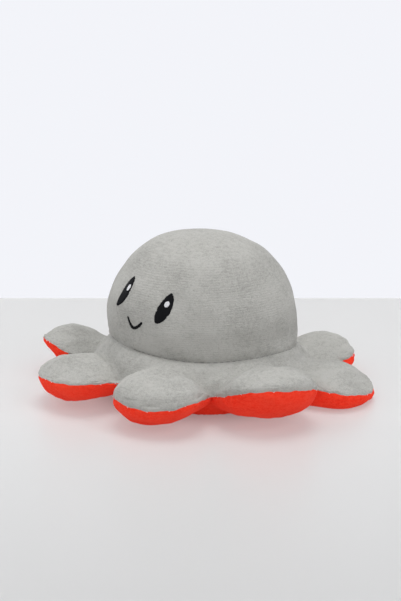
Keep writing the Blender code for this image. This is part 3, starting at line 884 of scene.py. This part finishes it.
def tube(points, radius, sides=6):
    """Points and faces of a closed tube with rounded ends along a line."""
    points = np.asarray(points, float)
    tangent = np.gradient(points, axis=0)
    tangent /= np.linalg.norm(tangent, axis=1, keepdims=True)
    helper = np.where(np.abs(tangent[:, 2:]) > 0.9, [[1.0, 0, 0]], [[0, 0, 1.0]])
    first = np.cross(tangent, helper)
    first /= np.linalg.norm(first, axis=1, keepdims=True)
    second = np.cross(tangent, first)
    turns = np.arange(sides) * 2 * math.pi / sides
    size = radius * np.sqrt(np.maximum(1 - np.linspace(-1, 1, len(points)) ** 6, 0))
    size[0] = size[-1] = 0
    ring = first[:, None] * np.cos(turns)[None, :, None] + second[:, None] * np.sin(turns)[None, :, None]
    grid = points[:, None] + ring * size[:, None, None]
    return grid.reshape(-1, 3), grid_faces(len(points), sides, True)


def joined(parts):
    points, faces, shift = [], [], 0
    for part_points, part_faces in parts:
        points.append(part_points)
        faces += [tuple(index + shift for index in face) for face in part_faces]
        shift += len(part_points)
    return np.concatenate(points), faces


def ring_stitches(name, radius, height, stitches, material, node):
    """A ring of sunk stitches. Stitches is their count, the share that shows, and their radius."""
    count, share, thick = stitches
    parts = []
    for stitch in range(count):
        turns = (stitch + share * np.linspace(-0.5, 0.5, 7)) * 2 * math.pi / count
        across = radius(turns) - thick * np.linspace(-1, 1, 7) ** 2
        points = np.stack([across * np.cos(turns), across * np.sin(turns), height(turns)], 1)
        parts.append(tube(points, thick))
    piece = make_piece(name, *joined(parts), material)
    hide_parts(node)
    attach(piece, "body")


def build_seam_stitches(lobes, seams):
    """Short ends of pale thread that show here and there along each leg's seam."""
    for leg, lobe in lobes.items():
        draw = np.random.RandomState(70 + leg)
        steps = distances(seams[leg])
        parts = []
        for start in np.arange(THREAD_MARGIN, steps[-1] - THREAD_MARGIN, THREAD_PITCH):
            if draw.uniform() > THREAD_CHANCE:
                continue
            size = draw.uniform(*THREAD_LENGTHS)
            points = along_line(seams[leg], steps, start + size * np.linspace(-0.5, 0.5, 5))
            out = points - lobe.world(HINGE + lobe.length * LEG_MIDDLE, 0, 0)
            out[:, 2] = 0
            out /= np.linalg.norm(out, axis=1, keepdims=True)
            lift = THREAD_LIFT * (1 + np.cos(np.linspace(-1, 1, 5) * THREAD_BEND))
            points = points + out * lift[:, None]
            points[:, 2] += np.linspace(-THREAD_SLANT, THREAD_SLANT, 5) * draw.choice([-1, 1])
            parts.append(tube(points, THREAD_RADIUS, 5))
        piece = make_piece(f"leg_{leg}_stitches", *joined(parts), WHITE_THREAD)
        blend_leg(piece, lobe)


# Embroidery: the threads of a satin band, and the sizes of the bands
ROWS_PER_THREAD = 3
BAND_COLUMNS = 13
THREAD_SWAY = 0.24
GROOVE_SHARE = 0.75
BAND_SINK, BAND_BACK = 0.02, 0.30
EYE_THREADS, GLINT_THREADS, MOUTH_THREADS = 0.42, 0.38, 0.40
EYE_HALF_WIDTH, EYE_HALF_HEIGHT, EYE_POWER = 3.7, 9.5, 0.575
GLINT_HALF_WIDTH, GLINT_HALF_HEIGHT = 1.4, 1.85
SMILE_HALF_WIDTH, SMILE_DEPTH, SMILE_THICK = 5.6, 5.0, 0.8
SMILE_POWER, SMILE_END_POWER = 1.75, 12
# how high the eyes, the glints and the mouth stand off the grey cloth and off the red
EYE_LIFT, GLINT_LIFT, SMILE_LIFT = 0.55, 0.95, 0.5
INNER_EYE_LIFT, INNER_GLINT_LIFT, INNER_MOUTH_LIFT = 0.5, 0.9, 0.45
# how far off the cloth the search for it begins, and the step that gives its slope
SEARCH, SLOPE_STEP = 6, 0.2
# azimuth, height, lean, bow and taper of each eye, and its glint's place right and up of the middle
EYES = {
    "left": (17.3, 58.3, 19, 0.9, 0.10, 0.9, 2.9),
    "right": (-18.0, 62.0, 14, 1.7, -0.14, 3.0, 3.6),
}
# azimuth, height and lean
SMILE_PLACE = (-1.8, 49.7, 7)
# the red side's face inside the pocket
INNER_SCALE = 0.55
INNER_EYE_AZIMUTH, INNER_EYE_HEIGHT = 17, 33.0
INNER_GLINT = (1.2, 2.0)
INNER_TAPER = 0.2
INNER_MOUTH_HEIGHT = 27.0


class Ground:
    """The cloth that a face is sewn on."""

    def __init__(self, tree, dome, outward):
        self.tree = tree
        self.dome = dome
        self.outward = outward

    def across(self, height):
        return float(dome_radius(height, self.dome))

    def normal(self, turn, height):
        slope = (self.across(height + SLOPE_STEP) - self.across(height - SLOPE_STEP)) / (2 * SLOPE_STEP)
        return Vector((math.sin(turn), -math.cos(turn), -slope)).normalized()

    def spot(self, turn, height, right, up, lift):
        """The point of the cloth that is right and up of a middle, lifted off the cloth."""
        normal = self.normal(turn, height)
        level = height + up * math.hypot(normal.x, normal.y)
        place = turn + right / self.across(height)
        across = self.across(level)
        point = Vector((across * math.sin(place), -across * math.cos(place), level))
        if self.outward > 0:
            shift = lean_shift(np.array(level))
            point += Vector((shift[0], shift[1], 0))
        normal = self.normal(place, level) * self.outward
        hit = self.tree.ray_cast(point + normal * SEARCH, -normal, 2 * SEARCH)[0]
        return (hit or point) + normal * lift


def satin(name, node, ground, place, band, pitch, lift, material, slot_name, seed):
    """A raised band of satin stitches.

    The place is an azimuth, a height and a lean in degrees. The band is its middle line, right and
    up of that place, and its half width along the line.
    """
    turn, height, lean = math.radians(place[0]), place[1], math.radians(place[2])
    line, half = band
    steps = distances(line)
    threads = max(4, int(steps[-1] / pitch))
    jitter = np.random.RandomState(seed).uniform(-1, 1, threads)
    tops, lows = [], []
    for row in range(threads * ROWS_PER_THREAD + 1):
        at = steps[-1] * row / (threads * ROWS_PER_THREAD)
        middle, ahead, behind = [along_line(line, steps, at + shift) for shift in (0, 0.05, -0.05)]
        way = ahead - behind
        way /= max(np.hypot(*way), 1e-9)
        side = np.array([way[1], -way[0]])
        width = np.interp(at, steps, half)
        width += THREAD_SWAY * jitter[min(row // ROWS_PER_THREAD, threads - 1)] * min(1.0, width)
        width = max(width, 0.05)
        raised = lift * (1.0 if row % ROWS_PER_THREAD else GROOVE_SHARE)
        top, low = [], []
        for share in np.linspace(-1, 1, BAND_COLUMNS):
            right, up = middle + side * width * share
            across = right * math.cos(lean) + up * math.sin(lean)
            rise = up * math.cos(lean) - right * math.sin(lean)
            crown = (1 - abs(share) ** 3) ** (1 / 3)
            top.append(ground.spot(turn, height, across, rise, raised * crown - BAND_SINK))
            low.append(ground.spot(turn, height, across, rise, -BAND_BACK))
        tops.append(top)
        lows.append(low)
    points = np.concatenate([np.array(tops).reshape(-1, 3), np.array(lows).reshape(-1, 3)])
    piece = make_piece(name, points, shell_faces(len(tops), BAND_COLUMNS, False), material)
    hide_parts(node)
    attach(piece, "body")


def eye_band(scale, bow, taper):
    along = np.linspace(-1, 1, 61)
    width = scale * EYE_HALF_WIDTH * (1 - taper * along) * np.maximum(1 - along**2, 0) ** EYE_POWER
    return np.stack([scale * bow * (1 - along**2), scale * EYE_HALF_HEIGHT * along], 1), width


def glint_band(scale, right, up):
    along = np.linspace(-1, 1, 31)
    width = scale * GLINT_HALF_WIDTH * np.sqrt(np.maximum(1 - along**2, 0))
    return np.stack([np.full(31, scale * right), scale * (up + GLINT_HALF_HEIGHT * along)], 1), width


def smile_band(scale, bend):
    along = np.linspace(-1, 1, 61)
    width = scale * SMILE_THICK * np.sqrt(np.maximum(1 - along**SMILE_END_POWER, 0))
    depth = bend * scale * SMILE_DEPTH * (1 - np.abs(along) ** SMILE_POWER)
    return np.stack([scale * SMILE_HALF_WIDTH * along, -depth], 1), width


def build_faces(head_tree, pocket_tree):
    black, white = (BLACK_THREAD, "black_thread"), (WHITE_THREAD, "white_thread")
    outside = Ground(head_tree, HEAD, 1)
    for seed, (side, (*place, bow, taper, right, up)) in enumerate(EYES.items()):
        satin(f"eye_{side}_satin", f"eye_{side}", outside, place,
              eye_band(1, bow, taper), EYE_THREADS, EYE_LIFT, *black, seed)
        satin(f"glint_{side}_satin", f"glint_{side}", outside, place,
              glint_band(1, right, up), GLINT_THREADS, GLINT_LIFT, *white, seed + 5)
    satin("smile_satin", "smile", outside, SMILE_PLACE,
          smile_band(1, 1), MOUTH_THREADS, SMILE_LIFT, *black, 9)
    inside = Ground(pocket_tree, POCKET, -1)
    for seed, (side, way) in enumerate((("left", 1), ("right", -1))):
        place = (way * INNER_EYE_AZIMUTH, INNER_EYE_HEIGHT, 0)
        satin(f"inner_eye_{side}_satin", f"inner_eye_{side}", inside, place,
              eye_band(INNER_SCALE, 0, INNER_TAPER), EYE_THREADS, INNER_EYE_LIFT, *black, seed + 20)
        satin(f"inner_glint_{side}_satin", f"inner_glint_{side}", inside, place,
              glint_band(INNER_SCALE, *INNER_GLINT), GLINT_THREADS, INNER_GLINT_LIFT, *white, seed + 25)
    satin("inner_mouth_satin", "inner_mouth", inside, (0, INNER_MOUTH_HEIGHT, 0),
          smile_band(INNER_SCALE, -1), MOUTH_THREADS, INNER_MOUTH_LIFT, *black, 29)


# Pocket
def build_pocket():
    sheet = dome_rows(POCKET, lambda turns: np.full(len(turns), POCKET_MIDDLE), POCKET_ROWS, POCKET_SIDES)
    normals = sheet_normals(sheet, True)
    normals[0] = (0, 0, 1)
    height = sheet[..., 2]
    turns = np.arctan2(sheet[..., 1], sheet[..., 0])
    start, full, fade = POCKET_FADE
    hold = ease((height - POCKET_MIDDLE - start) / full)
    hold *= ease((POCKET_MIDDLE + POCKET_RISE - height) / fade)
    push = POCKET_FOLD * folds(turns, POCKET_FOLDS) * hold + lumps(sheet, POCKET_LUMPS)
    push *= ease((height - POCKET_MIDDLE) / POCKET_EASE)
    sheet = sheet + normals * np.minimum(push, POCKET_LIMIT)[..., None]
    sheet[0] = sheet[0].mean(0)
    inner = sheet[:, ::-1]
    normals = sheet_normals(inner, True)
    normals[0] = (0, 0, -1)
    piece = make_shell("pocket_velour", inner, normals, True, CLOTH, RED)
    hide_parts("head_lining")
    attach(piece, "body")
    return piece


def tree_of(item):
    points = [vertex.co / MM for vertex in item.data.vertices]
    return BVHTree.FromPolygons(points, [tuple(face.vertices) for face in item.data.polygons])


# Studio
AZIMUTH, ELEVATION, DISTANCE = math.radians(42), math.radians(16), 1.1
SENSOR = 36
FOCUS = Vector((0, 0, 0.040))
FOCAL_PIXELS = 1925.0
FRAME_WIDTH, FRAME_HEIGHT = 401, 601
FOCUS_PIXEL = (205.5, 317.0)
# the table's far edge, how far in front its painted glow changes, and its size
TABLE_BACK = 0.186
TABLE_FRONT = 0.34
TABLE_LENGTH, TABLE_HALF_WIDTH, TABLE_THICK = 6, 4, 0.03
# the painted glow's strength at shares of the way to the front: the table gives off light, though it is no
# lamp
TABLE_PAINTED_GLOW = ((0.0, (0.27,) * 3), (0.46, (0.315,) * 3), (1.0, (0.205,) * 3))
# the toy's painted shadow on it: radii at which it is deepest and ends, and the glow's share at each
TABLE_PAINTED_SHADOW = (0.048, 0.078, 0.50, 1.0)
# how far up the bright wall ends and the room begins, and their colours
WALL = ((0.08, (0.895, 0.905, 0.95)), (0.36, (0.42, 0.425, 0.44)))
# the wall rises higher at the back than in front
WALL_SLOPE = 0.22
# name, place to the picture's right, towards the camera and up, size and power
LAMPS = (
    ("key", (1.2, 0.9, 1.3), 0.9, 8.0),
    ("top", (0.1, -0.2, 1.9), 1.3, 16.5),
    ("left", (-1.3, 0.3, 1.2), 1.2, 5.0),
    ("rear", (-0.9, -0.9, 1.3), 1.2, 4.5),
    ("fill", (-0.1, 1.7, 0.32), 1.2, 4.6),
)
LAMP_TARGET = Vector((0, 0, 0.03))


def from_camera(right, toward, up):
    """A vector given by how far it goes to the picture's right, towards the camera and up."""
    cos, sin = math.cos(AZIMUTH), math.sin(AZIMUTH)
    return Vector((cos * right + sin * toward, sin * right - cos * toward, up))


def build_camera():
    back = from_camera(0, math.cos(ELEVATION), math.sin(ELEVATION))
    data = bpy.data.cameras.new("camera")
    data.sensor_fit = "VERTICAL"
    data.sensor_height = SENSOR
    data.lens = FOCAL_PIXELS / FRAME_HEIGHT * SENSOR
    data.shift_x = -(FOCUS_PIXEL[0] - FRAME_WIDTH / 2) / FRAME_HEIGHT
    data.shift_y = (FOCUS_PIXEL[1] - FRAME_HEIGHT / 2) / FRAME_HEIGHT
    data.clip_start, data.clip_end = 0.05, 50
    camera = bpy.data.objects.new("camera", data)
    camera.location = FOCUS + back * DISTANCE
    camera.rotation_mode = "QUATERNION"
    camera.rotation_quaternion = back.to_track_quat("Z", "Y")
    bpy.context.scene.collection.objects.link(camera)
    bpy.context.scene.camera = camera


def measured(nodes, links, kind, vector, way=(0, 0, 0)):
    """The length of a shader's vector, or its dot product with a direction."""
    node = nodes.new("ShaderNodeVectorMath")
    node.operation = kind
    node.inputs[1].default_value = way
    links.new(vector, node.inputs[0])
    return node.outputs["Value"]


def ranged(nodes, links, value, limits, kind="LINEAR"):
    """A value brought from one range to another, which is 0 to 1 if only the first is given."""
    node = nodes.new("ShaderNodeMapRange")
    node.interpolation_type = kind
    for socket, limit in zip(("From Min", "From Max", "To Min", "To Max"), limits):
        node.inputs[socket].default_value = limit
    links.new(value, node.inputs["Value"])
    return node.outputs["Result"]


def build_stage():
    """A pale table whose far edge lies a little behind the toy, in front of a bright wall."""
    material, nodes, links, shader = new_material("table")
    # pale plastic that light also comes through; with its painted glow below, shadows under the toy stay
    # light and soft
    set_inputs(shader, {
        "Base Color": (0.37, 0.37, 0.368, 1), "Emission Color": (1, 1, 1, 1),
        "Roughness": 0.38, "Specular IOR Level": 0.3,
        "Subsurface Weight": 0.85, "Subsurface Radius": (1, 1, 1), "Subsurface Scale": 0.005,
    })
    front, side = from_camera(0, 1, 0), from_camera(1, 0, 0)
    # its painted glow (an emission, though it is no lamp) is strongest beside the toy and fades towards the
    # front
    spot = nodes.new("ShaderNodeTexCoord").outputs["Object"]
    ahead = measured(nodes, links, "DOT_PRODUCT", spot, front)
    painted_glow = ramp(nodes, links, ranged(nodes, links, ahead, (-TABLE_BACK, TABLE_FRONT)), TABLE_PAINTED_GLOW)
    # painted shadow: the glow is dimmed near the toy's middle, by distance alone
    reach = measured(nodes, links, "LENGTH", spot)
    # painted light and shade: the painted glow times the painted shadow drives the table's emission
    strength = nodes.new("ShaderNodeMath")
    strength.operation = "MULTIPLY"
    links.new(painted_glow, strength.inputs[0])
    links.new(ranged(nodes, links, reach, TABLE_PAINTED_SHADOW, "SMOOTHSTEP"), strength.inputs[1])
    links.new(strength.outputs["Value"], shader.inputs["Emission Strength"])
    back, far, edge = front * -TABLE_BACK, front * TABLE_LENGTH, side * TABLE_HALF_WIDTH
    top = [back - edge, far - edge, far + edge, back + edge]
    low = [corner - Vector((0, 0, TABLE_THICK)) for corner in top]
    mesh = bpy.data.meshes.new("table")
    faces = [(0, 1, 2, 3), (7, 6, 5, 4), (0, 4, 5, 1), (1, 5, 6, 2), (2, 6, 7, 3), (3, 7, 4, 0)]
    mesh.from_pydata(top + low, [], faces)
    mesh.materials.append(material)
    table = bpy.data.objects.new("table", mesh)
    bpy.context.scene.collection.objects.link(table)


def build_light():
    """A bright wall low down all round, a dimmer room above it, and large soft lamps."""
    world = bpy.data.worlds.new("studio")
    bpy.context.scene.world = world
    world.use_nodes = True
    nodes, links = world.node_tree.nodes, world.node_tree.links
    way = nodes.new("ShaderNodeTexCoord").outputs["Generated"]
    height = measured(nodes, links, "DOT_PRODUCT", way, from_camera(0, WALL_SLOPE, 1))
    links.new(ramp(nodes, links, height, WALL, "EASE"), nodes["Background"].inputs["Color"])
    for name, place, size, power in LAMPS:
        data = bpy.data.lights.new(name, "AREA")
        data.shape = "DISK"
        data.size = size
        data.energy = power
        lamp = bpy.data.objects.new(name, data)
        lamp.location = from_camera(*place)
        lamp.rotation_mode = "QUATERNION"
        lamp.rotation_quaternion = (lamp.location - LAMP_TARGET).to_track_quat("Z", "Y")
        bpy.context.scene.collection.objects.link(lamp)


bpy.context.scene.view_settings.view_transform = "Standard"
head_piece = build_head()
leg_lobes, leg_seams = build_legs()
pocket_piece = build_pocket()
build_faces(tree_of(head_piece), tree_of(pocket_piece))
ring_stitches("neck_stitches", lambda turns: neck_radius(turns) - NECK_SINK, neck_height,
              NECK_STITCHES, GREY_THREAD, "neck_seam")
ring_stitches("mouth_stitches", lambda turns: np.full(len(turns), POCKET_RADIUS - MOUTH_SINK),
              lambda turns: np.full(len(turns), POCKET_MIDDLE),
              MOUTH_STITCHES, RED_THREAD, "mouth_seam")
build_seam_stitches(leg_lobes, leg_seams)
build_stage()
build_light()
build_camera()
